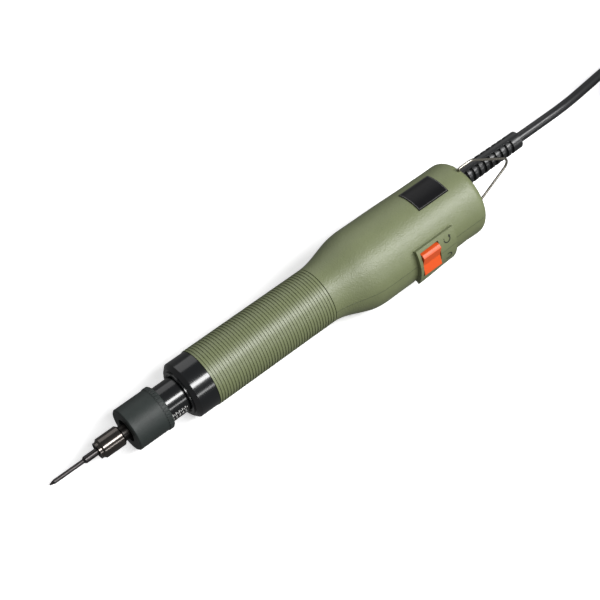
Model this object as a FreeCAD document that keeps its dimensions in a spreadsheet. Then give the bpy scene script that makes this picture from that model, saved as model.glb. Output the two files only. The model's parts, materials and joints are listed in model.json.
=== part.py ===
"""Electric screwdriver, lying on a bench: a push-to-start driver with a torque nut, mains cord and plug.

The tool is modelled about its spindle axis, which is X with the bit towards -X and the cord towards +X.
The switch faces -Y and the nameplate +Z.  The origin is on the axis, at the middle of the nose collar.
On the bench the tool rests on its collar and its belly, so the whole tool is turned nose down by the
rest angle when its pieces are written, and the cord lies on the bench behind it.
"""
import FreeCAD, Part
import math
import os
import Sketcher

Vector = FreeCAD.Vector
X_AXIS = Vector(1, 0, 0)
Y_AXIS = Vector(0, 1, 0)
Z_AXIS = Vector(0, 0, 1)

# Driving dimensions in millimetres, degrees and counts
DIMENSIONS = {
    # fits
    "running_gap": 0.08, "seat_gap": 0.05, "clear_gap": 0.35, "press_gap": 0.02,
    # nose collar
    "collar_length": 14.6, "collar_radius": 16.7, "collar_wall": 3.0, "collar_chamfer": 2.2,
    "collar_lip_radius": 13.2, "collar_lip_height": 0.8, "collar_rim_width": 1.0,
    # clutch barrel
    "barrel_radius": 10.45, "barrel_bore": 8.2, "barrel_reach": 22.0, "barrel_flange_radius": 14.5,
    "barrel_flange_width": 3.0, "barrel_edge": 0.6,
    # torque nut and the seat that it pushes
    "nut_radius": 12.5, "nut_length": 22.2, "nut_wall": 2.6, "nut_hole": 6.75, "barrel_showing": 11.9,
    "nut_edge": 0.7, "nut_ring_length": 3.2, "nut_ring_height": 0.35,
    "nut_notches": 40, "notch_width": 0.7, "notch_depth": 0.45,
    "seat_length": 11.0, "seat_bore": 5.5,
    # spindle, bit and bit sleeve
    "push_travel": 1.5, "spindle_radius": 4.4, "spindle_head_radius": 5.2, "spindle_head_length": 1.2,
    "bush_wall": 0.9, "bush_length": 20.0, "bush_flange_radius": 6.1, "bush_flange_length": 1.0,
    "tail_flats": 6.0, "tail_gap": 0.12, "nose_inset": 0.4, "holder_length": 10.6,
    "sleeve_radius": 5.75, "sleeve_length": 14.8, "sleeve_nut_gap": 3.5,
    "sleeve_lip_radius": 4.7, "sleeve_lip_length": 1.6, "sleeve_edge": 0.8,
    "holder_radius": 3.9, "sleeve_spring_wire": 0.6, "sleeve_spring_turns": 4,
    "ball_radius": 0.9, "ball_station": 2.8, "circlip_width": 0.7, "circlip_radius": 4.6,
    "chamber_start": 4.6, "chamber_radius": 5.0, "sleeve_rear_wall": 4.0, "sleeve_spring_radius": 4.45,
    "bit_reach": 29.5, "bit_tip_length": 20.6, "bit_tip_radius": 1.2, "bit_shank_radius": 2.0,
    "bit_socket_depth": 18.0, "bit_cone_length": 2.4, "bit_point_radius": 0.35, "bit_cross_width": 0.5,
    "bit_cross_length": 2.6, "bit_taper_length": 1.0,
    # clutch
    "washer_thickness": 1.0, "washer_radius": 7.9, "washer_bore": 4.8, "disc_radius": 7.6,
    "driven_thickness": 4.0, "driver_thickness": 3.4, "clutch_ball_radius": 1.3, "clutch_ball_ring": 5.4,
    "disc_gap": 2.2, "clutch_ball_count": 3, "pocket_gap": 0.03, "start_gap": 2.8,
    "start_spring_radius": 5.4, "start_spring_wire": 0.6, "start_spring_turns": 2,
    "clutch_spring_radius": 7.0, "clutch_spring_wire": 1.1, "clutch_spring_turns": 6,
    # drive shaft and its bushes
    "shaft_radius": 4.0, "shaft_bush_length": 8.0, "bush_front_gap": 2.9, "shaft_length": 52.0,
    "sensor_length": 2.4, "sensor_width": 4.0, "sensor_height": 2.0, "sensor_offset": 9.6,
    # planetary gear
    "gear_module": 0.45, "sun_teeth": 12, "planet_teeth": 18, "ring_teeth": 48, "planet_count": 3,
    "gear_width": 7.0, "gear_backlash": 0.16, "gear_addendum": 0.8, "gear_dedendum": 1.25,
    "pressure_angle": 20.0, "ring_radius": 13.0,
    "carrier_radius": 9.5, "carrier_thickness": 3.6, "planet_pin_radius": 1.0,
    # motor
    "motor_radius": 12.8, "motor_length": 40.0, "can_wall": 1.0, "can_front_wall": 2.0,
    "motor_gap": 1.2, "motor_bush_radius": 3.0, "motor_bush_length": 3.2,
    "rotor_radius": 8.9, "rotor_length": 21.5, "rotor_start": 6.5, "rotor_shaft_radius": 1.5,
    "shaft_stub": 2.0,
    "rotor_slots": 5, "rotor_slot_width": 1.6, "rotor_slot_depth": 4.6, "winding_length": 2.6,
    "winding_radius": 7.6, "magnet_thickness": 2.2, "magnet_angle": 130.0,
    "commutator_radius": 4.0, "commutator_length": 4.2, "brush_width": 3.0, "brush_length": 7.4,
    "end_cap_length": 4.0,
    # housing
    "neck_radius": 14.9, "neck_bore": 13.1, "grip_radius": 17.05, "grip_length": 80.4, "grip_line": 0.5,
    "rib_pitch": 1.875, "rib_count": 42, "rib_groove": 0.85, "rib_depth": 0.4, "rib_first": 0.75,
    "swell_length": 31.2, "belly_length": 20.0, "taper_length": 34.0, "rear_length": 24.4,
    "body_radius": 24.0, "belly_drop": 2.0, "rear_inset": 0.9, "rear_drop": 1.2,
    "shell_wall": 2.2, "rear_wall": 3.0, "rear_round": 5.5, "rear_cap": 8.0,
    # switch panel and rocker
    "panel_start": 22.2, "panel_length": 28.0, "panel_proud": 2.8, "panel_slope": 0.554, "panel_depth": 6.0,
    "rocker_base": 0.7, "rocker_start": 2.4, "rocker_length": 12.7, "rocker_radius": 10.0,
    "rocker_depth": 5.2, "rocker_rise": 2.4, "rocker_valley": 1.0,
    "rocker_gap": 0.4, "rocker_pin_radius": 1.0, "rocker_half": 8.0, "rocker_room": 1.3,
    "switch_depth": 9.0, "switch_share": 0.715, "switch_wall": 1.2, "rocker_skirt": 1.5,
    "switch_clear": 2.4, "cheek_rise": 1.3, "cheek_height": 4.0,
    # nameplate
    "plate_start": 39.1, "plate_length": 21.9, "plate_width": 17.0, "plate_thickness": 0.5,
    # housing screws
    "screw_radius": 1.3, "screw_head_radius": 2.3, "screw_head_height": 1.8, "screw_boss_radius": 3.2,
    "screw_side": 6.3, "screw_front": 4.2, "screw_rear": 15.0, "screw_depth": 8.0, "screw_land": 5.0,
    "screw_hole_gap": 0.2,
    # hanger bail
    "bail_wire": 1.5, "bail_inset": 1.6, "bail_side": 3.6, "bail_peg": 4.0, "bail_straight": 10.0,
    "bail_length": 42.1, "bail_bend": 1.6, "bail_shoulder_bend": 5.0, "bail_apex_bend": 4.6,
    "bail_spot_radius": 3.6, "bail_spot_gap": 0.9,
    # strain relief and cord
    "cord_diameter": 6.2, "relief_share": 0.6, "relief_inset": 4.86, "relief_length": 53.7,
    "relief_base_radius": 6.1, "relief_end_radius": 5.4, "relief_flange_radius": 7.6,
    "relief_flange_length": 2.0, "relief_slots": 10, "relief_slot_width": 2.2,
    "relief_slot_pitch": 4.5, "relief_core_radius": 4.2, "relief_spine_width": 3.6,
    "relief_rim_radius": 7.4, "relief_rim_height": 0.8,
    "relief_slot_start": 4.0,
    "clamp_length": 5.2, "clamp_edge": 4.9, "clamp_wall": 2.2, "clamp_split": 0.5,
    "clamp_screw_edge": 2.8, "clamp_screw_radius": 1.25, "clamp_head_radius": 2.0,
    "clamp_head_height": 1.4, "clamp_inset": 10.8, "clamp_screw_depth": 6.0, "tail_end": 2.0,
    # power and control board
    "board_thickness": 1.6, "board_length": 44.0, "board_side": 1.04, "board_gap": 0.4,
    "board_start": 9.0, "transformer_length": 17.0, "transformer_margin": 8.2, "transformer_height": 13.0,
    "switch_space": 2.6, "component_gap": 1.5,
    "capacitor_radius": 5.0, "capacitor_length": 13.0, "regulator_length": 9.0, "regulator_height": 9.0,
    "regulator_clear": 2.1, "lead_radius": 0.8, "lead_spread": 5.0,
    "lead_overlap": 4.0, "mains_spread": 1.5, "lead_bend": 2.4, "lead_step": 4.0, "lead_rest": 4.0,
    # cord hank, tie and plug
    "hank_half_width": 29.5, "hank_run": 40.0, "hank_gap": 0.6, "hank_layers": 4, "hank_turns": 2,
    "hank_tail": 10.0, "plug_approach": 34.0,
    "tie_width": 12.0, "tie_thickness": 0.8, "tie_gap": 0.15,
    "plug_length": 34.0, "plug_width": 24.4, "plug_neck_length": 16.0, "plug_neck_radius": 5.4,
    "plug_edge": 4.0, "plug_socket": 5.0, "blade_length": 18.0, "blade_width": 6.3, "blade_thickness": 1.5,
    "blade_spread": 6.35, "blade_rise": 4.0, "earth_radius": 2.4, "earth_length": 21.0, "earth_drop": 7.4,
}

# Sizes that follow from others
DERIVED = {
    "rocker_reach": "body_radius + rocker_base",
    "rear_radius": "body_radius - rear_inset",
    "screw_spread": "body_radius - screw_side",
    "bail_height": "body_radius - bail_side",
    "relief_offset": "rear_radius * relief_share - relief_inset",
    "clamp_width": "2 * (rear_radius - clamp_edge - relief_offset)",
    "clamp_screw_spread": "clamp_width / 2 - clamp_screw_edge",
    "board_height": "rocker_radius + board_gap + board_thickness",
    "board_width": "2 * (sqrt((body_radius - shell_wall) ^ 2 - board_height ^ 2) - board_side)",
    "switch_inside": "rocker_reach - rocker_depth - rocker_skirt - switch_clear - switch_depth",
    "switch_height": "body_radius * switch_share",
    "transformer_side": "switch_space - switch_inside",
    "transformer_start": "regulator_length + 2 * component_gap",
    "transformer_width": "body_radius - transformer_margin",
    "regulator_side": "component_gap - board_width / 2",
    "regulator_width": "0 - regulator_side - lead_spread - lead_radius - regulator_clear",
}

# Route of the cord from the strain relief: distance back, sideways, and share of the drop to the hank's top
CORD_ROUTE = [
    (0.0, 0.0, 0.0), (20.0, 0.0, -0.132), (44.0, 2.2, -0.06), (70.0, 8.2, 0.2),
    (94.0, 14.6, 0.52), (118.0, 19.0, 0.84), (142.0, 19.5, 1.0), (166.0, 19.5, 1.0),
]

doc = FreeCAD.newDocument("electric_screwdriver")
sheet = doc.addObject("Spreadsheet::Sheet", "sizes")
cells = {name: str(number) for name, number in DIMENSIONS.items()}
cells.update({name: f"={formula}" for name, formula in DERIVED.items()})
for row, (name, content) in enumerate(cells.items(), start=1):
    sheet.set(f"A{row}", name)
    sheet.set(f"B{row}", content)
    sheet.setAlias(f"B{row}", name)
doc.recompute()

tool_pieces = []
bench_pieces = []


def size(expression):
    """The number that an expression over the sheet has now."""
    return float(sheet.evalExpression(str(expression)))


def bind(piece, **expressions):
    """Ties properties of a piece to the sheet."""
    for name, expression in expressions.items():
        piece.setExpression(name, str(expression))
    return piece


def place(piece, x="0", y="0", z="0"):
    """Ties a piece's position to the sheet."""
    for name, expression in (("x", x), ("y", y), ("z", z)):
        piece.setExpression(f".Placement.Base.{name}", str(expression))
    return piece


def keep(piece, label, group=tool_pieces):
    """Makes an object a sub-part of the tool, or of what lies on the bench, under its own name."""
    piece.Label = label
    group.append(piece)
    return piece


def rod(name, radius, length, x, y="0", z="0"):
    """A round bar along X, from x."""
    piece = doc.addObject("Part::Cylinder", name)
    piece.Placement.Rotation = FreeCAD.Rotation(Y_AXIS, 90)
    bind(piece, Radius=radius, Height=length)
    return place(piece, x, y, z)


def post(name, radius, height, x, y, z):
    """A round bar along Z, from z."""
    piece = doc.addObject("Part::Cylinder", name)
    bind(piece, Radius=radius, Height=height)
    return place(piece, x, y, z)


def block(name, length, width, height, x, y, z):
    """A box from its lowest corner."""
    piece = doc.addObject("Part::Box", name)
    bind(piece, Length=length, Width=width, Height=height)
    return place(piece, x, y, z)


def combine(kind, name, base, tools):
    """A piece joined with, or cut by, one tool after another."""
    for number, tool in enumerate(tools, 1):
        piece = doc.addObject(kind, name if number == len(tools) else f"{name}_step_{number}")
        piece.Base = base
        piece.Tool = tool
        piece.Refine = False
        base = piece
    return base


def fuse(name, base, *others):
    return combine("Part::Fuse", name, base, others)


def cut(name, base, *tools):
    return combine("Part::Cut", name, base, tools)


def common(name, first, second):
    return combine("Part::Common", name, first, [second])


def solid(name, shape):
    """A piece whose shape is worked out below from the sheet."""
    piece = doc.addObject("Part::Feature", name)
    piece.Shape = shape
    return piece


def outline_sketch(body, name, points, plane_name="XY_Plane"):
    """A closed outline of straight edges, each corner tied to the sheet, in a plane of the body."""
    plane = next(item for item in body.Origin.OriginFeatures if item.Role == plane_name)
    sketch = body.newObject("Sketcher::SketchObject", name)
    sketch.AttachmentSupport = [(plane, "")]
    sketch.MapMode = "FlatFace"
    corners = [Vector(size(x), size(y), 0) for x, y in points]
    count = len(corners)
    for index, corner in enumerate(corners):
        sketch.addGeometry(Part.LineSegment(corner, corners[(index + 1) % count]), False)
    for index in range(count):
        sketch.addConstraint(Sketcher.Constraint("Coincident", index, 2, (index + 1) % count, 1))
    for index, (x, y) in enumerate(points):
        corner = corners[index]
        for kind, expression, number in (("DistanceX", x, corner.x), ("DistanceY", y, corner.y)):
            place_in_list = sketch.addConstraint(Sketcher.Constraint(kind, -1, 1, index, 1, number))
            sketch.setExpression(f"Constraints[{place_in_list}]", str(expression))
    return sketch


def turned(name, x, points, y="0"):
    """A body turned about the X axis from (along, radius) corners, its front at x."""
    body = doc.addObject("PartDesign::Body", name)
    sketch = outline_sketch(body, f"{name}_outline", points)
    turning = body.newObject("PartDesign::Revolution", f"{name}_turned")
    turning.Profile = sketch
    turning.ReferenceAxis = (sketch, ["H_Axis"])
    turning.Angle = 360
    return place(body, x, y)


def ring(name, x, length, radius, bore):
    """A plain turned ring."""
    return turned(name, x, [("0", bore), ("0", radius), (length, radius), (length, bore)])


def ring_grooves(body, name, first, width, floor, ceiling, pitch, count):
    """Cuts equal grooves round a turned body, one after another along it."""
    end = f"{first} + {width}"
    corners = [(first, floor), (first, ceiling), (end, ceiling), (end, floor)]
    sketch = outline_sketch(body, f"{name}_outline", corners)
    groove = body.newObject("PartDesign::Groove", name)
    groove.Profile = sketch
    groove.ReferenceAxis = (sketch, ["H_Axis"])
    groove.Angle = 360
    row = body.newObject("PartDesign::LinearPattern", f"{name}_row")
    row.Originals = [groove]
    row.Direction = (sketch, ["H_Axis"])
    bind(row, Length=f"{pitch} * ({count} - 1)", Occurrences=count)
    body.Tip = row


def notches(body, name, start, end, floor, ceiling, width, count):
    """Cuts equal lengthwise notches round the edge of a turned body."""
    corners = [(start, floor), (start, ceiling), (end, ceiling), (end, floor)]
    sketch = outline_sketch(body, f"{name}_outline", corners)
    pocket = body.newObject("PartDesign::Pocket", name)
    pocket.Profile = sketch
    pocket.Midplane = True
    bind(pocket, Length=width)
    circle = body.newObject("PartDesign::PolarPattern", f"{name}_circle")
    circle.Originals = [pocket]
    circle.Axis = (sketch, ["H_Axis"])
    circle.Angle = 360
    bind(circle, Occurrences=count)
    body.Tip = circle


def smooth(fraction):
    """An even S-curve from 0 to 1."""
    return fraction * fraction * (3 - 2 * fraction)


def rounded_wire(points, radii):
    """A wire of straight runs with an arc of the given radius at each inner point."""
    edges = []
    start = points[0]
    for before, corner, after, radius in zip(points, points[1:], points[2:], radii):
        back = (before - corner).normalize()
        ahead = (after - corner).normalize()
        half_turn = (math.pi - back.getAngle(ahead)) / 2
        reach = radius * math.tan(half_turn)
        middle_line = (back + ahead).normalize()
        middle = corner + middle_line * (radius / math.cos(half_turn) - radius)
        edges.append(Part.LineSegment(start, corner + back * reach).toShape())
        edges.append(Part.Arc(corner + back * reach, middle, corner + ahead * reach).toShape())
        start = corner + ahead * reach
    edges.append(Part.LineSegment(start, points[-1]).toShape())
    return Part.Wire(edges)


def swept_round(wire, radius):
    """A round section carried along a wire, as one solid."""
    start = wire.Edges[0]
    direction = start.tangentAt(start.FirstParameter)
    section = Part.Wire(Part.makeCircle(radius, start.valueAt(start.FirstParameter), direction))
    return wire.makePipeShell([section], True, False)


# Stations along the axis
collar_front = "(0 - sizes.collar_length / 2)"
collar_rear = "(sizes.collar_length / 2)"
nut_rear = f"({collar_front} - sizes.barrel_showing)"
nut_front = f"({nut_rear} - sizes.nut_length)"
nut_inside = f"({nut_front} + sizes.nut_wall)"
barrel_front = f"({collar_front} - sizes.barrel_reach)"
flange_front = f"({collar_front} + sizes.collar_wall + sizes.seat_gap)"
barrel_rear = f"({flange_front} + sizes.barrel_flange_width)"
neck_front = f"({barrel_rear} + sizes.seat_gap)"
swell_front = f"({collar_rear} + sizes.grip_length)"
swell_rear = f"({swell_front} + sizes.swell_length)"
belly_rear = f"({swell_rear} + sizes.belly_length)"
taper_rear = f"({belly_rear} + sizes.taper_length)"
rear_end = f"({taper_rear} + sizes.rear_length)"
cavity_rear = f"({rear_end} - sizes.rear_wall)"
seat_front = f"({nut_inside} + sizes.seat_gap)"
seat_rear = f"({seat_front} + sizes.seat_length)"
driver_rear = f"({barrel_rear} - sizes.seat_gap)"
driver_front = f"({driver_rear} - sizes.driver_thickness)"
driven_rear = f"({driver_front} - sizes.disc_gap)"
driven_front = f"({driven_rear} - sizes.driven_thickness)"
washer_rear = f"({driven_front} - sizes.seat_gap)"
washer_front = f"({washer_rear} - sizes.washer_thickness)"
bush_rear = f"({washer_front} - sizes.start_gap)"
bush_front = f"({bush_rear} - sizes.bush_length)"
spindle_shoulder = f"({bush_front} - sizes.seat_gap)"
tail_front = f"({bush_rear} + sizes.clear_gap)"
tail_rear = f"({driven_rear} - sizes.push_travel - sizes.running_gap)"
sleeve_rear = f"({nut_front} - sizes.sleeve_nut_gap)"
sleeve_front = f"({sleeve_rear} - sizes.sleeve_length)"
shaft_front = driver_front
shaft_rear = f"({shaft_front} + sizes.shaft_length)"
carrier_rear = shaft_rear
carrier_front = f"({carrier_rear} - sizes.carrier_thickness)"
gear_front = f"({carrier_rear} + sizes.clear_gap)"
gear_rear = f"({gear_front} + sizes.gear_width)"
motor_front = f"({gear_rear} + sizes.motor_gap)"
motor_rear = f"({motor_front} + sizes.motor_length)"
panel_front = f"({swell_rear} + sizes.panel_start)"
panel_rear = f"({panel_front} + sizes.panel_length)"
rocker_front = f"({panel_front} + sizes.rocker_start)"
rocker_axis = "(0 - sizes.rocker_reach + sizes.rocker_depth)"


def arc_from(start, direction, end):
    """An arc that leaves a point in a direction and ends at another."""
    chord = end - start
    lean = chord.getAngle(direction)
    along = Vector(chord).normalize()
    aside = (direction - along * direction.dot(along)).normalize()
    return Part.Arc(start, start + chord / 2 + aside * (chord.Length / 2 * math.tan(lean / 2)), end).toShape()


def arc_pair(start, first, end, last):
    """Two arcs that meet smoothly, with the given directions at the two ends."""
    across = end - start
    both = first + last
    spread = 2 * (1 - first.dot(last))
    meeting = (start + end) / 2
    if spread > 1e-9:
        reach = (math.sqrt(across.dot(both) ** 2 + spread * across.dot(across)) - across.dot(both)) / spread
        meeting += (first - last) * reach / 2
    turn_back = arc_from(end, last * -1, meeting)
    halfway = turn_back.valueAt((turn_back.FirstParameter + turn_back.LastParameter) / 2)
    return [arc_from(start, first, meeting), Part.Arc(meeting, halfway, end).toShape()]


def smooth_path(spots, headings):
    """Pairs of arcs through points, with the given direction at each."""
    edges = []
    for start, first, end, last in zip(spots, headings, spots[1:], headings[1:]):
        edges += arc_pair(start, first, end, last)
    return edges


def spring(name, front, rear, radius, wire, turns):
    """A coil spring along X between two faces, in arcs of an eighth of a turn."""
    wire_radius = size(wire) / 2
    start = size(front) + wire_radius + size("sizes.seat_gap")
    rise = size(rear) - size(front) - 2 * wire_radius - 2 * size("sizes.seat_gap")
    count = round(4 * size(turns))
    spots = []
    headings = []
    for number in range(count + 1):
        angle = math.pi / 2 * number
        spots.append(Vector(start + rise * number / count, size(radius) * math.cos(angle),
                            size(radius) * math.sin(angle)))
        headings.append(Vector(rise / (math.pi / 2 * count), -size(radius) * math.sin(angle),
                               size(radius) * math.cos(angle)).normalize())
    return solid(name, swept_round(Part.Wire(smooth_path(spots, headings)), wire_radius))


# Nose collar, clutch barrel and torque nut
collar_hole = "(sizes.barrel_radius + sizes.seat_gap)"
neck_seat = "(sizes.neck_radius + sizes.seat_gap)"
rim_radius = f"{collar_hole} + sizes.collar_rim_width"
collar_shoulder = "(sizes.collar_lip_height + sizes.collar_chamfer)"
keep(turned("collar", collar_front, [
    ("0", rim_radius), ("0", "sizes.collar_lip_radius"),
    ("sizes.collar_lip_height", "sizes.collar_lip_radius"),
    ("sizes.collar_lip_height", "sizes.collar_radius - sizes.collar_chamfer"),
    (collar_shoulder, "sizes.collar_radius"), ("sizes.collar_length", "sizes.collar_radius"),
    ("sizes.collar_length", neck_seat), ("sizes.collar_wall", neck_seat),
    ("sizes.collar_wall", collar_hole), ("sizes.collar_lip_height", collar_hole),
    ("sizes.collar_lip_height", rim_radius)]), "nose_collar")

flange_along = "(sizes.barrel_reach + sizes.collar_wall + sizes.seat_gap)"
barrel_length = f"({flange_along} + sizes.barrel_flange_width)"
keep(turned("barrel", barrel_front, [
    ("0", "sizes.barrel_bore"), ("0", "sizes.barrel_radius - sizes.barrel_edge"),
    ("sizes.barrel_edge", "sizes.barrel_radius"), (flange_along, "sizes.barrel_radius"),
    (flange_along, "sizes.barrel_flange_radius"), (barrel_length, "sizes.barrel_flange_radius"),
    (barrel_length, "sizes.barrel_bore")]), "clutch_barrel")

nut_bore = "(sizes.barrel_radius + sizes.running_gap)"
nut_ring_radius = "(sizes.nut_radius + sizes.nut_ring_height)"
nut_ring_start = "(sizes.nut_length - sizes.nut_ring_length)"
nut = turned("nut", nut_front, [
    ("0", "sizes.nut_hole"), ("0", "sizes.nut_radius - sizes.nut_edge"),
    ("sizes.nut_edge", "sizes.nut_radius"),
    (nut_ring_start, "sizes.nut_radius"), (nut_ring_start, nut_ring_radius),
    ("sizes.nut_length - sizes.nut_edge", nut_ring_radius),
    ("sizes.nut_length", f"{nut_ring_radius} - sizes.nut_edge"), ("sizes.nut_length", nut_bore),
    ("sizes.nut_wall", nut_bore), ("sizes.nut_wall", "sizes.nut_hole")])
notches(nut, "nut_notch", nut_ring_start, "(sizes.nut_length + sizes.nut_edge)",
        f"({nut_ring_radius} - sizes.notch_depth)", f"({nut_ring_radius} + sizes.nut_edge)",
        "sizes.notch_width", "sizes.nut_notches")
keep(nut, "torque_nut")
keep(ring("seat", seat_front, "sizes.seat_length", "(sizes.barrel_bore - sizes.running_gap)",
          "sizes.seat_bore"),
     "spring_seat")

# Spindle with its sliding bush, the bit and the bit sleeve
spindle_front = f"({sleeve_front} + sizes.nose_inset)"
head_front = f"({spindle_shoulder} - sizes.spindle_head_length - {spindle_front})"
head_rear = f"({spindle_shoulder} - {spindle_front})"
spindle_end = f"({tail_front} - {spindle_front})"
spindle_turned = turned("spindle_bar", spindle_front, [
    ("0", "0"), ("0", "sizes.holder_radius"), ("sizes.holder_length", "sizes.holder_radius"),
    ("sizes.holder_length", "sizes.spindle_radius"), (head_front, "sizes.spindle_radius"),
    (head_front, "sizes.spindle_head_radius"), (head_rear, "sizes.spindle_head_radius"),
    (head_rear, "sizes.spindle_radius"), (spindle_end, "sizes.spindle_radius"), (spindle_end, "0")])


def hexagon_bar(name, flats, front, rear):
    """A six-sided bar along X."""
    bar = doc.addObject("Part::Prism", name)
    bar.Polygon = 6
    bar.Placement.Rotation = FreeCAD.Rotation(Y_AXIS, 90)
    bind(bar, Circumradius=f"{flats} / sqrt(3)", Height=f"{rear} - {front}")
    return place(bar, front)


ball_station = f"({spindle_front} + sizes.ball_station)"
ball_ring = "(sizes.bit_shank_radius + sizes.running_gap + sizes.ball_radius)"
socket = rod("bit_socket", "sizes.bit_shank_radius + sizes.seat_gap", "sizes.bit_socket_depth", spindle_front)
ball_hole = post("ball_hole", "sizes.ball_radius + sizes.seat_gap", "sizes.spindle_radius * 2", ball_station,
                 "0", "0 - sizes.spindle_radius")
spindle_tail = hexagon_bar("spindle_tail", "sizes.tail_flats", tail_front, tail_rear)
keep(cut("spindle_solid", fuse("spindle_and_tail", spindle_turned, spindle_tail), socket, ball_hole),
     "spindle")


def ball(name, radius, x, y, z):
    piece = doc.addObject("Part::Sphere", name)
    bind(piece, Radius=radius)
    return place(piece, x, y, z)


keep(fuse("holder_balls", *[ball(f"holder_ball_{word}", "sizes.ball_radius", ball_station, "0",
                                 f"{sign}{ball_ring}")
                            for word, sign in (("top", ""), ("bottom", "0 - "))]), "retaining_balls")
bush_bore = "(sizes.spindle_radius + sizes.running_gap)"
bush_outside = f"({bush_bore} + sizes.bush_wall)"
bush_flange = "(sizes.bush_length - sizes.bush_flange_length)"
keep(turned("bush", bush_front, [
    ("0", bush_bore), ("0", bush_outside), (bush_flange, bush_outside),
    (bush_flange, "sizes.bush_flange_radius"),
    ("sizes.bush_length", "sizes.bush_flange_radius"), ("sizes.bush_length", bush_bore)]), "spindle_bush")

bit_front = f"({sleeve_front} - sizes.bit_reach)"
bit_end = "(sizes.bit_reach + sizes.nose_inset + sizes.bit_socket_depth - sizes.seat_gap)"
bit_shank_start = "(sizes.bit_tip_length + sizes.bit_taper_length)"
bit_bar = turned("bit_bar", bit_front, [
    ("0", "0"), ("0", "sizes.bit_point_radius"), ("sizes.bit_cone_length", "sizes.bit_tip_radius"),
    ("sizes.bit_tip_length", "sizes.bit_tip_radius"), (bit_shank_start, "sizes.bit_shank_radius"),
    (bit_end, "sizes.bit_shank_radius"), (bit_end, "0")])
flutes = [block(f"bit_flute_{number}", "sizes.bit_cross_length + sizes.bit_point_radius",
                "sizes.bit_shank_radius",
                "sizes.bit_shank_radius", f"{bit_front} - sizes.bit_point_radius",
                side_y, side_z)
          for number, (side_y, side_z) in enumerate(
              (y, z)
              for y in ("sizes.bit_cross_width / 2", "0 - sizes.bit_cross_width / 2 - sizes.bit_shank_radius")
              for z in ("sizes.bit_cross_width / 2",
                        "0 - sizes.bit_cross_width / 2 - sizes.bit_shank_radius"))]
keep(cut("bit_solid", bit_bar, *flutes), "driver_bit")

sleeve_bore = "(sizes.holder_radius + sizes.running_gap)"
sleeve_rear_bore = "(sizes.spindle_radius + sizes.running_gap)"
chamber_end = "(sizes.sleeve_length - sizes.sleeve_rear_wall)"
keep(turned("sleeve", sleeve_front, [
    ("0", sleeve_bore), ("0", "sizes.sleeve_lip_radius"),
    ("sizes.sleeve_lip_length", "sizes.sleeve_lip_radius"),
    ("sizes.sleeve_lip_length", "sizes.sleeve_radius - sizes.sleeve_edge"),
    ("sizes.sleeve_lip_length + sizes.sleeve_edge", "sizes.sleeve_radius"),
    ("sizes.sleeve_length - sizes.sleeve_edge", "sizes.sleeve_radius"),
    ("sizes.sleeve_length", "sizes.sleeve_radius - sizes.sleeve_edge"),
    ("sizes.sleeve_length", sleeve_rear_bore),
    (chamber_end, sleeve_rear_bore), (chamber_end, "sizes.chamber_radius"),
    ("sizes.chamber_start", "sizes.chamber_radius"), ("sizes.chamber_start", sleeve_bore)]), "bit_sleeve")
circlip_front = f"({sleeve_front} + sizes.chamber_start + sizes.seat_gap)"
circlip_rear = f"({circlip_front} + sizes.circlip_width)"
keep(ring("circlip", circlip_front, "sizes.circlip_width", "sizes.circlip_radius",
          "(sizes.holder_radius + sizes.press_gap)"), "sleeve_circlip")
keep(spring("sleeve_coil", circlip_rear, f"({sleeve_front} + {chamber_end})", "sizes.sleeve_spring_radius",
            "sizes.sleeve_spring_wire", "sizes.sleeve_spring_turns"), "sleeve_spring")

# Clutch
keep(spring("clutch_coil", seat_rear, washer_front, "sizes.clutch_spring_radius", "sizes.clutch_spring_wire",
            "sizes.clutch_spring_turns"), "clutch_spring")
keep(spring("start_coil", bush_rear, washer_front, "sizes.start_spring_radius", "sizes.start_spring_wire",
            "sizes.start_spring_turns"), "start_spring")
keep(ring("washer", washer_front, "sizes.washer_thickness", "sizes.washer_radius", "sizes.washer_bore"),
     "thrust_washer")
ball_plane = f"({driven_rear} + sizes.disc_gap / 2)"


def clutch_ball_set(name, radius):
    """Balls in a ring between the two clutch discs."""
    balls = []
    for number in range(int(size("sizes.clutch_ball_count"))):
        turn = f"(360 deg * {number} / sizes.clutch_ball_count)"
        balls.append(ball(f"{name}_{number}", radius, ball_plane, f"sizes.clutch_ball_ring * cos{turn}",
                          f"sizes.clutch_ball_ring * sin{turn}"))
    return fuse(name, *balls)


keep(clutch_ball_set("clutch_ball_group", "sizes.clutch_ball_radius"), "clutch_balls")
keep(cut("driven_disc", rod("driven_blank", "sizes.disc_radius", "sizes.driven_thickness", driven_front),
         hexagon_bar("driven_hexagon", "(sizes.tail_flats + 2 * sizes.tail_gap)", washer_front, driver_front),
         clutch_ball_set("driven_pockets", "sizes.clutch_ball_radius + sizes.pocket_gap")),
     "clutch_driven_disc")
keep(cut("driver_disc", rod("driver_blank", "sizes.disc_radius", "sizes.driver_thickness", driver_front),
         rod("driver_bore", "sizes.shaft_radius + sizes.press_gap", "sizes.driver_thickness * 2",
             driver_front),
         clutch_ball_set("driver_pockets", "sizes.clutch_ball_radius + sizes.pocket_gap")),
     "clutch_driver_disc")

# Drive shaft in its bushes, with the start sensor in front of them
keep(rod("shaft_bar", "sizes.shaft_radius", "sizes.shaft_length", shaft_front), "drive_shaft")
front_bush = f"({neck_front} + sizes.bush_front_gap)"
rear_bush = f"({carrier_front} - sizes.clear_gap - sizes.shaft_bush_length)"
for bush_name, bush_station in (("front_bush", front_bush), ("rear_bush", rear_bush)):
    keep(ring(f"{bush_name}_ring", bush_station, "sizes.shaft_bush_length",
              "(sizes.neck_bore - sizes.seat_gap)",
              "(sizes.shaft_radius + sizes.running_gap)"), f"shaft_{bush_name}")
keep(block("sensor_block", "sizes.sensor_length", "sizes.sensor_width", "sizes.sensor_height",
           f"{front_bush} - sizes.sensor_length - sizes.seat_gap", "0 - sizes.sensor_width / 2",
           "sizes.sensor_offset"), "start_sensor")


# Planetary gear
def involute(angle):
    return math.tan(angle) - angle


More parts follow.
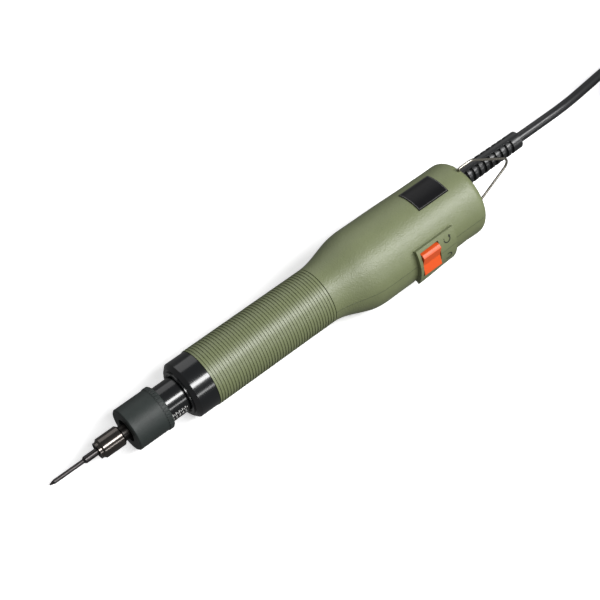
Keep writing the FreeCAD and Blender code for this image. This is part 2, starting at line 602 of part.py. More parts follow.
def gear_face(teeth, tip_radius, root_radius, tooth_width, turn):
    """A toothed outline in the YZ plane, with a tooth centred on the given angle from +Y."""
    pitch_radius = size("sizes.gear_module") * teeth / 2
    pressure = math.radians(size("sizes.pressure_angle"))
    base_radius = pitch_radius * math.cos(pressure)
    lowest = max(base_radius, root_radius)
    flank = []
    for step in range(4):
        radius = lowest + (tip_radius - lowest) * step / 3
        here = math.acos(base_radius / radius)
        flank.append((radius, tooth_width / 2 / pitch_radius + involute(pressure) - involute(here)))
    if root_radius < base_radius:
        flank.insert(0, (root_radius, flank[0][1]))
    corners = []
    for tooth in range(teeth):
        centre = turn + 2 * math.pi * tooth / teeth
        side = [(radius, centre - half) for radius, half in flank]
        side += [(radius, centre + half) for radius, half in reversed(flank)]
        corners += [Vector(0, radius * math.cos(angle), radius * math.sin(angle)) for radius, angle in side]
    return Part.Face(Part.makePolygon(corners + corners[:1]))


module = size("sizes.gear_module")
even_width = module * math.pi / 2
tooth_width = even_width - size("sizes.gear_backlash") / 2
space_width = even_width + size("sizes.gear_backlash") / 2
addendum = module * size("sizes.gear_addendum")
dedendum = module * size("sizes.gear_dedendum")
sun_teeth = int(size("sizes.sun_teeth"))
planet_teeth = int(size("sizes.planet_teeth"))
ring_teeth = int(size("sizes.ring_teeth"))
planet_orbit = "(sizes.gear_module * (sizes.sun_teeth + sizes.planet_teeth) / 2)"


def gear_blank(teeth, turn):
    pitch_radius = module * teeth / 2
    face = gear_face(teeth, pitch_radius + addendum, pitch_radius - dedendum, tooth_width, turn)
    return face.extrude(X_AXIS * size("sizes.gear_width"))


def bored(shape, radius):
    """The shape with a round hole along X."""
    length = shape.BoundBox.XLength
    return shape.cut(Part.makeCylinder(radius, 3 * length, X_AXIS * -length, X_AXIS))


sun = solid("sun_gear", bored(gear_blank(sun_teeth, 0), size("sizes.rotor_shaft_radius + sizes.press_gap")))
keep(place(sun, gear_front), "sun_pinion")
planet_count = int(size("sizes.planet_count"))
for number in range(planet_count):
    direction = 2 * math.pi * number / planet_count
    blank = gear_blank(planet_teeth, direction + math.pi + math.pi / planet_teeth)
    planet = solid(f"planet_{number + 1}", bored(blank, size("sizes.planet_pin_radius + sizes.running_gap")))
    turn = f"(360 deg * {number} / sizes.planet_count)"
    place(planet, gear_front, f"{planet_orbit} * cos{turn}", f"{planet_orbit} * sin{turn}")
    keep(planet, f"planet_gear_{number + 1}")
ring_pitch_radius = module * ring_teeth / 2
ring_length = size(f"{motor_front} - sizes.seat_gap - {carrier_front}")
ring_hole = gear_face(ring_teeth, ring_pitch_radius + dedendum, ring_pitch_radius - addendum, space_width,
                      math.pi / ring_teeth)
ring_blank = Part.makeCylinder(size("sizes.ring_radius"), ring_length, Vector(0, 0, 0), X_AXIS)
keep(place(solid("ring_teeth", ring_blank.cut(ring_hole.extrude(X_AXIS * ring_length))), carrier_front),
     "ring_gear")
planet_pins = []
for number in range(planet_count):
    turn = f"(360 deg * {number} / sizes.planet_count)"
    planet_pins.append(rod(f"planet_pin_{number}", "sizes.planet_pin_radius",
                           f"{gear_rear} - {carrier_front}",
                           carrier_front, f"{planet_orbit} * cos{turn}", f"{planet_orbit} * sin{turn}"))
carrier_disc = rod("carrier_disc", "sizes.carrier_radius", "sizes.carrier_thickness", carrier_front)
carrier_bore = rod("carrier_bore", "sizes.shaft_radius + sizes.press_gap", "sizes.carrier_thickness",
                   carrier_front)
keep(cut("carrier_solid", fuse("carrier_and_pins", carrier_disc, *planet_pins), carrier_bore),
     "planet_carrier")

# Motor
can_length = "(sizes.motor_length - sizes.end_cap_length)"
can_inside = "(sizes.motor_radius - sizes.can_wall)"
motor_bush_hole = "(sizes.motor_bush_radius + sizes.press_gap)"
keep(turned("can", motor_front, [
    ("0", motor_bush_hole), ("0", "sizes.motor_radius"), (can_length, "sizes.motor_radius"),
    (can_length, can_inside), ("sizes.can_front_wall", can_inside),
    ("sizes.can_front_wall", motor_bush_hole)]),
    "motor_can")
keep(ring("front_motor_bush", motor_front, "sizes.motor_bush_length", "sizes.motor_bush_radius",
          "(sizes.rotor_shaft_radius + sizes.running_gap)"), "motor_bush")
keep(ring("end_cap", f"({motor_front} + {can_length})", "sizes.end_cap_length", "sizes.motor_radius",
          "(sizes.rotor_shaft_radius + sizes.running_gap)"), "motor_end_cap")
magnet_radius = f"({can_inside} - sizes.press_gap)"
rotor_front = f"({motor_front} + sizes.rotor_start)"
rotor_rear = f"({rotor_front} + sizes.rotor_length)"
magnets = []
for word, middle in (("top", 0), ("bottom", 180)):
    sectors = [rod(f"{word}_magnet_{layer}", radius, "sizes.rotor_length", rotor_front)
               for layer, radius in (("outside", magnet_radius),
                                     ("inside", f"({magnet_radius} - sizes.magnet_thickness)"))]
    for sector in sectors:
        bind(sector, Angle="sizes.magnet_angle")
        facing = FreeCAD.Rotation(X_AXIS, middle + 180 - size("sizes.magnet_angle") / 2)
        sector.Placement.Rotation = facing * FreeCAD.Rotation(Y_AXIS, 90)
    magnets.append(cut(f"{word}_magnet", *sectors))
keep(fuse("magnet_pair", *magnets), "motor_magnets")
shaft_hole = "(sizes.rotor_shaft_radius + sizes.press_gap)"
core = ring("rotor_stack", rotor_front, "sizes.rotor_length", "sizes.rotor_radius", shaft_hole)
notches(core, "rotor_slot", "0", "sizes.rotor_length", "(sizes.rotor_radius - sizes.rotor_slot_depth)",
        "(sizes.rotor_radius + 1)", "sizes.rotor_slot_width", "sizes.rotor_slots")
keep(core, "rotor_core")
keep(fuse("winding_heads",
          ring("front_winding", f"({rotor_front} - sizes.winding_length)", "sizes.winding_length",
               "sizes.winding_radius", shaft_hole),
          ring("rear_winding", rotor_rear, "sizes.winding_length", "sizes.winding_radius", shaft_hole)),
     "rotor_winding")
keep(rod("rotor_bar", "sizes.rotor_shaft_radius", f"{motor_rear} + sizes.shaft_stub - {gear_front}",
         gear_front),
     "rotor_shaft")
commutator_front = f"({rotor_rear} + sizes.winding_length + sizes.seat_gap)"
keep(ring("commutator_ring", commutator_front, "sizes.commutator_length", "sizes.commutator_radius",
          shaft_hole),
     "commutator")
brush_front = f"({commutator_front} + (sizes.commutator_length - sizes.brush_width) / 2)"
brush_inside = "(sizes.commutator_radius + sizes.running_gap)"
keep(fuse("brush_pair", *[
    block(f"{word}_brush", "sizes.brush_width", "sizes.brush_length", "sizes.brush_width", brush_front, side,
          "0 - sizes.brush_width / 2")
    for word, side in (("left", brush_inside), ("right", f"0 - {brush_inside} - sizes.brush_length"))]),
    "motor_brushes")

# Grip sleeve over the neck of the housing
grip_front = f"({collar_rear} + sizes.seat_gap)"
grip_sleeve_length = "(sizes.grip_length - sizes.grip_line)"
grip = ring("grip", grip_front, grip_sleeve_length, "sizes.grip_radius", neck_seat)
ring_grooves(grip, "rib_groove_cut", "sizes.rib_first", "sizes.rib_groove",
             "(sizes.grip_radius - sizes.rib_depth)",
             "(sizes.grip_radius + sizes.rib_depth)", "sizes.rib_pitch", "sizes.rib_count")
keep(grip, "grip_sleeve")

# Housing in two halves
SWELL_STEPS = 6
TAPER_STEPS = 4
JOIN_TURN = 50
body_stations = []
for step in range(SWELL_STEPS + 1):
    share = smooth(step / SWELL_STEPS)
    body_stations.append((f"({swell_front} + sizes.swell_length * {step / SWELL_STEPS})",
                          f"(sizes.grip_radius + (sizes.body_radius - sizes.grip_radius) * {share})",
                          f"(sizes.belly_drop * {share})"))
body_stations.append((f"({swell_rear} + sizes.belly_length / 2)", "sizes.body_radius", "sizes.belly_drop"))
for step in range(TAPER_STEPS + 1):
    share = smooth(step / TAPER_STEPS)
    body_stations.append((f"({belly_rear} + sizes.taper_length * {step / TAPER_STEPS})",
                          f"(sizes.body_radius + (sizes.rear_radius - sizes.body_radius) * {share})",
                          f"(sizes.belly_drop + (sizes.rear_drop - sizes.belly_drop) * {share})"))


def body_form(name, inset, first, rear):
    """The rounded body of the housing, its outside moved inwards by the inset."""
    circles = []
    stations = body_stations[first:] + [(rear, "sizes.rear_radius", "sizes.rear_drop")]
    for number, (along, radius, drop) in enumerate(stations):
        circle = doc.addObject("Part::Circle", f"{name}_section_{number}")
        circle.Placement.Rotation = FreeCAD.Rotation(Y_AXIS, 90) * FreeCAD.Rotation(Z_AXIS, JOIN_TURN)
        bind(circle, Radius=f"{radius} - {inset}")
        circles.append(place(circle, along, "0", f"0 - {drop}"))
    form = doc.addObject("Part::Loft", name)
    form.Sections = circles
    form.Solid = True
    form.Ruled = False
    return form


def edges_where(shape, test):
    """Numbers of the edges whose every end passes a test."""
    return [number for number, edge in enumerate(shape.Edges, 1)
            if all(test(end.Point) for end in edge.Vertexes)]


cap_front = f"({rear_end} - sizes.rear_cap)"
body_outside = body_form("body_outside", "0", 0, cap_front)
body_inside = body_form("body_inside", "sizes.shell_wall", 1, cavity_rear)
panel_form = body_form("panel_form", "(0 - sizes.panel_proud)", 0, cap_front)
panel_wedge = doc.addObject("PartDesign::Body", "panel_wedge")
panel_root = "(sizes.body_radius - sizes.panel_depth)"
panel_top = "(sizes.body_radius + sizes.panel_depth)"
panel_outline = outline_sketch(panel_wedge, "panel_outline", [
    (f"0 - {panel_root}", f"{panel_root} * sizes.panel_slope"),
    (f"0 - {panel_top}", f"{panel_top} * sizes.panel_slope"),
    (f"0 - {panel_top}", f"0 - {panel_top} * sizes.panel_slope"),
    (f"0 - {panel_root}", f"0 - {panel_root} * sizes.panel_slope")], "YZ_Plane")
panel_length = panel_wedge.newObject("PartDesign::Pad", "panel_length")
panel_length.Profile = panel_outline
bind(panel_length, Length="sizes.panel_length")
place(panel_wedge, panel_front, "0", "0 - (sizes.belly_drop + sizes.rear_drop) / 2")
panel_pad = common("panel_pad", panel_form, panel_wedge)
rear_cap = rod("rear_cap", "sizes.rear_radius", "sizes.rear_cap", cap_front, "0", "0 - sizes.rear_drop")
doc.recompute()
rear_round = doc.addObject("Part::Fillet", "rear_round")
rear_round.Base = rear_cap
rear_numbers = edges_where(rear_cap.Shape, lambda point: abs(point.x - size(rear_end)) < 1e-3)
rear_round.Edges = [(number, size("sizes.rear_round"), size("sizes.rear_round")) for number in rear_numbers]
neck = rod("neck", "sizes.neck_radius", f"{swell_front} + sizes.shell_wall - {neck_front}", neck_front)
relief_rim = rod("relief_rim", "sizes.relief_rim_radius", "sizes.rear_wall + sizes.relief_rim_height",
                 cavity_rear,
                 "sizes.relief_offset")
neck_hole = rod("neck_hole", "sizes.neck_bore", f"sizes.swell_length + {swell_front} - {neck_front}",
                f"{neck_front} - 1")

screw_stations = [f"({swell_rear} + sizes.screw_front)", f"({rear_end} - sizes.screw_rear)"]
screw_places = [(along, side) for along in screw_stations
                for side in ("sizes.screw_spread", "(0 - sizes.screw_spread)")]
body_low = "(0 - 2 * sizes.body_radius)"


def screw_posts(name, radius, low, high):
    """One upright bar at each housing screw."""
    return fuse(name, *[post(f"{name}_{number}", radius, f"{high} - {low}", along, side, low)
                        for number, (along, side) in enumerate(screw_places)])


clamp_front = f"({rear_end} - sizes.clamp_inset)"
clamp_side = "(sizes.relief_offset - sizes.clamp_width / 2)"
saddle = block("saddle_block", "sizes.clamp_length", "sizes.clamp_width",
               "2 * sizes.body_radius - sizes.clamp_split",
               clamp_front, clamp_side, body_low)
bosses = screw_posts("boss_posts", "sizes.screw_boss_radius", body_low, "2 * sizes.body_radius")
body_middle = body_form("body_middle", "sizes.shell_wall / 2", 1, f"({rear_end} - sizes.rear_wall / 2)")
trimmed = common("inside_bosses", fuse("boss_and_saddle", bosses, saddle), body_middle)
rocker_well = "(sizes.rocker_radius + sizes.rocker_gap)"
well_length = "(sizes.rocker_length + 2 * sizes.rocker_gap)"
well_half = "(sizes.rocker_half + sizes.rocker_room)"
rocker_hole = common(
    "rocker_hole",
    rod("rocker_swing", rocker_well, well_length, f"{rocker_front} - sizes.rocker_gap", rocker_axis),
    block("rocker_slot", well_length, f"2 * {rocker_well}", f"2 * {well_half}",
          f"{rocker_front} - sizes.rocker_gap", f"{rocker_axis} - {rocker_well}", f"0 - {well_half}"))
bail_axis = f"({rear_end} - sizes.bail_inset)"
bail_floor = "(sizes.bail_height - sizes.bail_wire / 2 - sizes.bail_spot_gap)"
peg_floor = "(sizes.bail_height - sizes.bail_peg - sizes.bail_spot_gap)"
peg_radius = "(sizes.bail_wire / 2 + sizes.running_gap)"
bail_room = "sizes.body_radius"
bail_cuts = [
    post("top_bail_spot", "sizes.bail_spot_radius", bail_room, bail_axis, "0", bail_floor),
    post("low_bail_spot", "sizes.bail_spot_radius", bail_room, bail_axis, "0",
         f"0 - {bail_floor} - {bail_room}"),
    post("top_peg_hole", peg_radius, bail_room, bail_axis, "0", peg_floor),
    post("low_peg_hole", peg_radius, bail_room, bail_axis, "0", f"0 - {peg_floor} - {bail_room}"),
]
relief_hole = rod("relief_hole", "sizes.relief_base_radius + sizes.seat_gap", "sizes.rear_wall * 3",
                  f"{cavity_rear} - 1", "sizes.relief_offset")


def half_housing(word, low):
    """One half of the housing, hollow, with its bosses and shared openings."""
    space = block(f"{word}_space", f"{rear_end} + sizes.rear_length", "4 * sizes.body_radius",
                  "2 * sizes.body_radius", f"{neck_front} - 1", body_low, low)
    halves = [common(f"{word}_{piece.Name}", piece, space)
              for piece in (body_outside, rear_round, neck, panel_pad, relief_rim)]
    hollow = cut(f"{word}_hollow", fuse(f"{word}_full", *halves), body_inside, neck_hole)
    with_bosses = fuse(f"{word}_housing", hollow, common(f"{word}_bosses", trimmed, space))
    return cut(f"{word}_opened", with_bosses, rocker_hole, relief_hole, *bail_cuts)


pilot_holes = screw_posts("pilot_hole", "sizes.screw_radius + sizes.press_gap", "0",
                          "sizes.screw_depth + sizes.clear_gap")
screw_holes = screw_posts("screw_hole", "sizes.screw_radius + sizes.screw_hole_gap", body_low, "1")
head_holes = screw_posts("head_hole", "sizes.screw_head_radius + sizes.screw_hole_gap", body_low,
                         "(0 - sizes.screw_land)")
tail_radius = "(sizes.cord_diameter / 2)"
tail_front_end = f"({clamp_front} - sizes.tail_end)"
tail_groove = rod("tail_groove", f"{tail_radius} + sizes.press_gap", f"{cavity_rear} - {tail_front_end}",
                  tail_front_end, "sizes.relief_offset")
clamp_middle = f"({clamp_front} + sizes.clamp_length / 2)"
clamp_top = f"({tail_radius} + sizes.clamp_wall)"
clamp_sides = ["(sizes.relief_offset - sizes.clamp_screw_spread)",
               "(sizes.relief_offset + sizes.clamp_screw_spread)"]


def clamp_posts(name, radius, low, high):
    """One upright bar at each screw of the cord clamp."""
    return fuse(name, *[post(f"{name}_{number}", radius, f"{high} - {low}", clamp_middle, side, low)
                        for number, side in enumerate(clamp_sides)])


clamp_low = "(0 - sizes.clamp_screw_depth)"
clamp_pilots = clamp_posts("clamp_pilot", "sizes.clamp_screw_radius + sizes.press_gap",
                           f"({clamp_low} - sizes.clear_gap)", clamp_top)
keep(cut("upper_half", half_housing("upper", "0"), pilot_holes), "upper_shell")
keep(cut("lower_half", half_housing("lower", body_low), screw_holes, head_holes, tail_groove, clamp_pilots),
     "lower_shell")
screw_low = "(0 - sizes.screw_land - sizes.screw_head_height)"
keep(fuse("screw_set", screw_posts("screw_shank", "sizes.screw_radius", screw_low, "sizes.screw_depth"),
          screw_posts("screw_head", "sizes.screw_head_radius", screw_low, "(0 - sizes.screw_land)")),
     "housing_screws")

# Nameplate on the crown
plate_outside = body_form("plate_outside", "(0 - sizes.seat_gap - sizes.plate_thickness)", 0, cap_front)
plate_inside = body_form("plate_inside", "(0 - sizes.seat_gap)", 0, cap_front)
plate_block = block("plate_block", "sizes.plate_length", "sizes.plate_width", "2 * sizes.body_radius",
                    f"{swell_rear} + sizes.plate_start", "0 - sizes.plate_width / 2", "0")
keep(common("plate_solid", cut("plate_skin", plate_outside, plate_inside), plate_block), "nameplate")

# Rocker, its pin and the switch behind it
rocker_drum = rod("rocker_drum", "sizes.rocker_radius", "sizes.rocker_length", rocker_front, rocker_axis)
rocker_crest = "sqrt(sizes.rocker_radius ^ 2 - (sizes.rocker_depth + sizes.rocker_rise) ^ 2)"
rocker_slope = f"((sizes.rocker_rise - sizes.rocker_valley) / {rocker_crest})"
valley_height = "(sizes.rocker_depth + sizes.rocker_valley)"
wing_height = f"({valley_height} + {rocker_slope} * sizes.rocker_half)"
rocker_form = doc.addObject("PartDesign::Body", "rocker_form")
rocker_outline = outline_sketch(rocker_form, "rocker_outline", [
    (f"0 - {valley_height}", "0"), (f"0 - {wing_height}", "sizes.rocker_half"),
    ("sizes.rocker_skirt", "sizes.rocker_half"), ("sizes.rocker_skirt", "0 - sizes.rocker_half"),
    (f"0 - {wing_height}", "0 - sizes.rocker_half")], "YZ_Plane")
rocker_pad = rocker_form.newObject("PartDesign::Pad", "rocker_pad")
rocker_pad.Profile = rocker_outline
bind(rocker_pad, Length="sizes.rocker_length")
place(rocker_form, rocker_front, rocker_axis)
rocker_bore = rod("rocker_bore", "sizes.rocker_pin_radius + sizes.running_gap", "sizes.rocker_length + 2",
                  f"{rocker_front} - 1", rocker_axis)
keep(cut("rocker_solid", common("rocker_profile", rocker_drum, rocker_form), rocker_bore), "rocker")
switch_front = f"({rocker_front} - sizes.rocker_gap - sizes.switch_wall)"
switch_length = "(sizes.rocker_length + 2 * sizes.rocker_gap + 2 * sizes.switch_wall)"
switch_top = f"({rocker_axis} + sizes.rocker_skirt + sizes.switch_clear)"
cheek_top = f"({rocker_axis} - sizes.cheek_rise)"
cheeks = [block(f"{word}_cheek", "sizes.switch_wall", f"{switch_top} + sizes.switch_wall - {cheek_top}",
                "sizes.cheek_height", along, cheek_top, "0 - sizes.cheek_height / 2")
          for word, along in (("front", switch_front),
                              ("rear", f"{switch_front} + {switch_length} - sizes.switch_wall"))]
switch_base = block("switch_base", switch_length, "sizes.switch_depth", "sizes.switch_height", switch_front,
                    switch_top,
                    "0 - sizes.switch_height / 2")
switch_hole = rod("switch_hole", "sizes.rocker_pin_radius + sizes.press_gap", switch_length, switch_front,
                  rocker_axis)
keep(cut("switch_solid", fuse("switch_and_cheeks", switch_base, *cheeks), switch_hole), "switch_body")
keep(rod("rocker_bar", "sizes.rocker_pin_radius", switch_length, switch_front, rocker_axis), "rocker_pin")

# Hanger bail
bail_half = size("sizes.bail_height")
bail_peg_end = bail_half - size("sizes.bail_peg")
bail_x = size(bail_axis)
bail_knee = bail_x + size("sizes.bail_straight")
bail_points = [Vector(bail_x, 0, bail_peg_end), Vector(bail_x, 0, bail_half), Vector(bail_knee, 0, bail_half),
               Vector(bail_x + size("sizes.bail_length"), 0, 0),
               Vector(bail_knee, 0, -bail_half), Vector(bail_x, 0, -bail_half),
               Vector(bail_x, 0, -bail_peg_end)]
bail_bends = [size(f"sizes.{name}") for name in ("bail_bend", "bail_shoulder_bend", "bail_apex_bend",
                                                 "bail_shoulder_bend", "bail_bend")]
keep(solid("bail_rod", swept_round(rounded_wire(bail_points, bail_bends), size("sizes.bail_wire / 2"))),
     "hanger_bail")

# Strain relief, cord tail and cord clamp
relief_front = f"({cavity_rear} - sizes.relief_flange_length)"
relief_end = f"({rear_end} + sizes.relief_length)"
relief_bore = f"({tail_radius} + sizes.press_gap)"
relief_neck = "(sizes.relief_flange_length + sizes.rear_wall)"
relief_whole = f"({relief_neck} + sizes.relief_length)"
relief = turned("relief", relief_front, [
    ("0", relief_bore), ("0", "sizes.relief_flange_radius"),
    ("sizes.relief_flange_length", "sizes.relief_flange_radius"),
    ("sizes.relief_flange_length", "sizes.relief_base_radius"), (relief_neck, "sizes.relief_base_radius"),
    (relief_whole, "sizes.relief_end_radius"), (relief_whole, relief_bore)], "sizes.relief_offset")
ring_grooves(relief, "relief_slot", f"({relief_neck} + sizes.relief_slot_start)", "sizes.relief_slot_width",
             "sizes.relief_core_radius", "sizes.relief_flange_radius + 1", "sizes.relief_slot_pitch",
             "sizes.relief_slots")
relief_cone = doc.addObject("Part::Cone", "relief_cone")
relief_cone.Placement.Rotation = FreeCAD.Rotation(Y_AXIS, 90)
bind(relief_cone, Radius1="sizes.relief_base_radius", Radius2="sizes.relief_end_radius",
     Height="sizes.relief_length")
place(relief_cone, rear_end, "sizes.relief_offset")
spine_block = block("spine_block", "sizes.relief_length", "sizes.relief_spine_width",
                    "4 * sizes.relief_base_radius",
                    rear_end, "sizes.relief_offset - sizes.relief_spine_width / 2",
                    "0 - 2 * sizes.relief_base_radius")
relief_core = rod("relief_core", "sizes.relief_core_radius - sizes.seat_gap", "sizes.relief_length", rear_end,
                  "sizes.relief_offset")
spines = cut("relief_spines", common("spine_blank", relief_cone, spine_block), relief_core)
keep(fuse("relief_solid", relief, spines), "strain_relief")
keep(rod("cord_tail_bar", tail_radius, f"{relief_end} - {tail_front_end}", tail_front_end,
         "sizes.relief_offset"),
     "cord_tail")
clamp_block = block("clamp_block", "sizes.clamp_length", "sizes.clamp_width",
                    f"{clamp_top} - sizes.clamp_split",
                    clamp_front, clamp_side, "sizes.clamp_split")
clamp_groove = rod("clamp_groove", f"{tail_radius} + sizes.press_gap", "sizes.clamp_length", clamp_front,
                   "sizes.relief_offset")
clamp_holes = clamp_posts("clamp_hole", "sizes.clamp_screw_radius + sizes.screw_hole_gap", "0",
                          f"({clamp_top} + 1)")
keep(cut("clamp_solid", clamp_block, clamp_groove, clamp_holes), "cord_clamp")
clamp_head = f"({clamp_top} + sizes.clamp_head_height)"
keep(fuse("clamp_screw_set", clamp_posts("clamp_shank", "sizes.clamp_screw_radius", clamp_low, clamp_head),
          clamp_posts("clamp_head", "sizes.clamp_head_radius", clamp_top, clamp_head)), "clamp_screws")

# Power and control board with its leads
board_front = f"({swell_rear} + sizes.board_start)"
board_top = "(sizes.board_thickness - sizes.board_height)"
keep(block("board", "sizes.board_length", "sizes.board_width", "sizes.board_thickness", board_front,
           "0 - sizes.board_width / 2", "0 - sizes.board_height"), "control_board")
transformer_front = f"({board_front} + sizes.transformer_start)"
keep(block("transformer_block", "sizes.transformer_length", "sizes.transformer_width",
           "sizes.transformer_height",
           transformer_front, "sizes.transformer_side", board_top), "transformer")
keep(rod("capacitor_can", "sizes.capacitor_radius", "sizes.capacitor_length",
         f"{transformer_front} + sizes.transformer_length + sizes.component_gap",
         "sizes.transformer_side + sizes.transformer_width / 2",
         f"{board_top} + sizes.capacitor_radius + sizes.press_gap"), "capacitor")
keep(block("regulator_block", "sizes.regulator_length", "sizes.regulator_width", "sizes.regulator_height",
           f"{board_front} + sizes.component_gap", "sizes.regulator_side", board_top), "speed_regulator")
lead_height = f"({board_top} + sizes.lead_radius + sizes.press_gap)"
keep(fuse("motor_lead_pair", *[
    rod(f"{word}_motor_lead", "sizes.lead_radius", f"{board_front} + sizes.lead_overlap - {motor_rear}",
        motor_rear,
        side, lead_height)
    for word, side in (("left", "sizes.lead_spread"), ("right", "0 - sizes.lead_spread"))]), "motor_leads")
lead_start = size(f"{tail_front_end} - sizes.press_gap")
lead_knee = lead_start - size("sizes.lead_step")
lead_foot = lead_knee - size("sizes.lead_step")
lead_level = size(lead_height)
mains_leads = []
for sign in (-1, 1):
    side = size("sizes.relief_offset") + sign * size("sizes.mains_spread")
    lead_points = [Vector(lead_start, side, 0), Vector(lead_knee, side, 0),
                   Vector(lead_foot, side, lead_level),
                   Vector(lead_foot - size("sizes.lead_rest"), side, lead_level)]
    lead_wire = rounded_wire(lead_points, [size("sizes.lead_bend")] * 2)
    mains_leads.append(swept_round(lead_wire, size("sizes.lead_radius")))
keep(solid("mains_lead_pair", Part.makeCompound(mains_leads)), "mains_leads")

# Resting pose: the tool lies nose-down on the collar and the belly
rest_front = size(f"{collar_front} + {collar_shoulder}")
belly_reach = size("sizes.body_radius + sizes.belly_drop")
rest_angle = math.atan((belly_reach - size("sizes.collar_radius")) / (size(swell_rear) - rest_front))
rest = FreeCAD.Placement(Vector(0, 0, 0), FreeCAD.Rotation(Y_AXIS, -math.degrees(rest_angle)))
bench = rest_front * math.sin(rest_angle) - size("sizes.collar_radius") * math.cos(rest_angle)

# Cord from the strain relief to the top of its hank
cord_radius = size("sizes.cord_diameter") / 2
hank_pitch = size("sizes.cord_diameter + sizes.hank_gap")
hank_layers = int(size("sizes.hank_layers"))
lying_height = bench + size("sizes.tie_thickness + sizes.tie_gap") + cord_radius
hank_top = lying_height + hank_pitch * (hank_layers - 1)
cord_exit = rest.multVec(Vector(size(relief_end), size("sizes.relief_offset"), 0))
drop = cord_exit.z - hank_top
route = [cord_exit + Vector(back, side, -share * drop) for back, side, share in CORD_ROUTE]


def bend_radii(points):
    """The widest even bend at each inner point that leaves a straight piece on each run."""
    radii = []
    for before, corner, after in zip(points, points[1:], points[2:]):
        half_turn = (corner - before).getAngle(after - corner) / 2
        shorter = min((corner - before).Length, (after - corner).Length)
        radii.append(0.45 * shorter / math.tan(half_turn))
    return radii


route_radii = bend_radii(route)
print("cord bend radii", [round(radius, 1) for radius in route_radii])
lead_path = rounded_wire(route, route_radii)
keep(solid("lead_sweep", swept_round(lead_path, cord_radius)), "cord_lead", bench_pieces)

# Cord hank: long turns inwards, then outwards, one layer under another, down to the bench
hank_turns = int(size("sizes.hank_turns"))
hank_half = size("sizes.hank_half_width")
hank_rear = route[-1].x + size("sizes.cord_diameter")
hank_front = hank_rear - size("sizes.hank_run")
hank_middle = route[-1].y - hank_half
lanes = [0]
for layer in range(hank_layers):
    for turn in range(hank_turns):
        lanes += [turn, turn + 1] if layer % 2 == 0 else [hank_turns - 1 - turn] * 2
runs_per_layer = 2 * hank_turns


def hank_point(run, x):
    """Where a run of the hank starts, at x: even runs go back on +Y, odd ones forward on -Y."""
    offset = hank_half - hank_pitch * lanes[run]
    layer = max(run - 1, 0) // runs_per_layer
    return Vector(x, hank_middle + (offset if run % 2 == 0 else -offset), hank_top - hank_pitch * layer)


hank_edges = [Part.LineSegment(route[-1], hank_point(0, hank_rear)).toShape()]
last_run = len(lanes) - 1
for run in range(1, last_run + 1):
    turn_x, far_x = (hank_rear, hank_front) if run % 2 else (hank_front, hank_rear)
    before = hank_edges[-1].Vertexes[-1].Point
    here = hank_point(run, turn_x)
    outwards = X_AXIS * math.copysign((before - here).Length / 2, turn_x - far_x)
    hank_edges.append(Part.Arc(before, (before + here) / 2 + outwards, here).toShape())
    run_end = Vector(far_x, here.y, here.z)
    if run % runs_per_layer == 0 and run < last_run:
        hank_edges += arc_pair(here, X_AXIS, run_end - Z_AXIS * hank_pitch, X_AXIS)
    else:
        hank_edges.append(Part.LineSegment(here, run_end).toShape())
hank_end = hank_edges[-1].Vertexes[-1].Point
tail_start = hank_end + X_AXIS * size("sizes.hank_tail")
tail_rise = tail_start + Vector(size("sizes.plug_approach"), 0, hank_pitch)
cord_end = tail_rise + X_AXIS * size("sizes.cord_diameter + sizes.plug_socket")
hank_edges.append(Part.LineSegment(hank_end, tail_start).toShape())
hank_edges += arc_pair(tail_start, X_AXIS, tail_rise, X_AXIS)
hank_edges.append(Part.LineSegment(tail_rise, cord_end).toShape())
hank_path = Part.Wire(hank_edges)
keep(solid("hank_sweep", swept_round(hank_path, cord_radius)), "cord_coil", bench_pieces)
trace = hank_path.discretize(Distance=2.0)
far_pairs = [(one - other).Length for number, one in enumerate(trace) for other in trace[number + 20:]]
print("hank least gap", round(min(far_pairs) - size("sizes.cord_diameter"), 2))
print("cord length", round(lead_path.Length + hank_path.Length, 1))

# Tie round the hank, plug at its end
tie_wall = size("sizes.tie_thickness")
tie_room = cord_radius + size("sizes.tie_gap")
tie_width = size("sizes.tie_width")
tie_low = Vector((hank_front + hank_rear - tie_width) / 2, hank_middle - hank_half - tie_room,
                 lying_height - tie_room)
tie_breadth = 2 * (hank_half + tie_room)
tie_height = hank_top - lying_height + 2 * tie_room
tie_hole = Part.makeBox(tie_width, tie_breadth, tie_height, tie_low)
tie_block = Part.makeBox(tie_width, tie_breadth + 2 * tie_wall, tie_height + 2 * tie_wall,
                         tie_low - Vector(0, tie_wall, tie_wall))
keep(solid("tie_band", tie_block.cut(tie_hole)), "cord_tie", bench_pieces)

neck_start = cord_end.x - size("sizes.plug_socket")
plug_start = neck_start + size("sizes.plug_neck_length")
plug_face = plug_start + size("sizes.plug_length")
plug_half = cord_end.z - bench
plug_block = block("plug_block", "sizes.plug_length", "sizes.plug_width", f"{2 * plug_half}", f"{plug_start}",
                   f"{cord_end.y} - sizes.plug_width / 2", f"{bench}")
doc.recompute()
plug_form = doc.addObject("Part::Chamfer", "plug_form")
plug_form.Base = plug_block
plug_edge = size("sizes.plug_edge")
plug_form.Edges = [(number, plug_edge, plug_edge) for number, edge in enumerate(plug_block.Shape.Edges, 1)
                   if edge.BoundBox.XLength > plug_edge]
plug_neck = rod("plug_neck", "sizes.plug_neck_radius", "sizes.plug_neck_length", f"{neck_start}",
                f"{cord_end.y}",
                f"{cord_end.z}")
plug_hole = rod("plug_hole", f"{tail_radius} + sizes.press_gap", "sizes.plug_socket", f"{neck_start}",
                f"{cord_end.y}", f"{cord_end.z}")
keep(cut("plug_solid", fuse("plug_and_neck", plug_form, plug_neck), plug_hole), "plug_body", bench_pieces)
